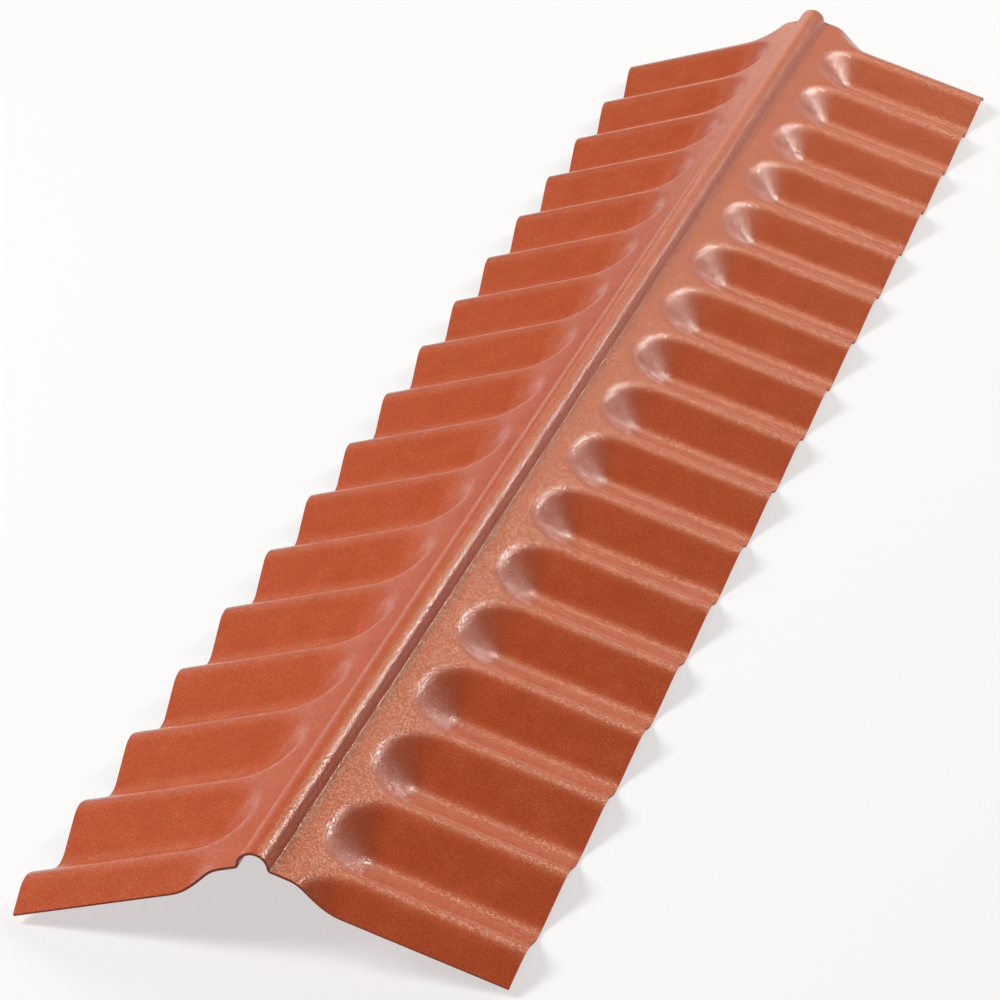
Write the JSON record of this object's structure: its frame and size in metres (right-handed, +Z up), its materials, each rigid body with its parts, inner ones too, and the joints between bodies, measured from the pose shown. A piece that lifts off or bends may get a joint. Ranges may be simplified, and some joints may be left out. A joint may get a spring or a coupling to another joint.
{
  "type": "ridge cap",
  "caption": "One-piece corrugated ridge cap with a half-round bead along the ridge, flat strips beside it and two waved sloping wings, in terracotta plastic.",
  "frame": {"origin": "centre of the footprint on the floor: midway between the eaves and midway along the ridge, at the level of the lowest eave edges", "axes": "+Y along the ridge, +Z up, +X down-slope towards the right wing's eave"},
  "size_m": [0.2742, 1.266, 0.0648],
  "materials": {
    "terracotta_plastic": "satin, fine grained"
  },
  "bodies": {
    "root": {"ridge_cap": "terracotta_plastic"}
  },
  "joints": []
}
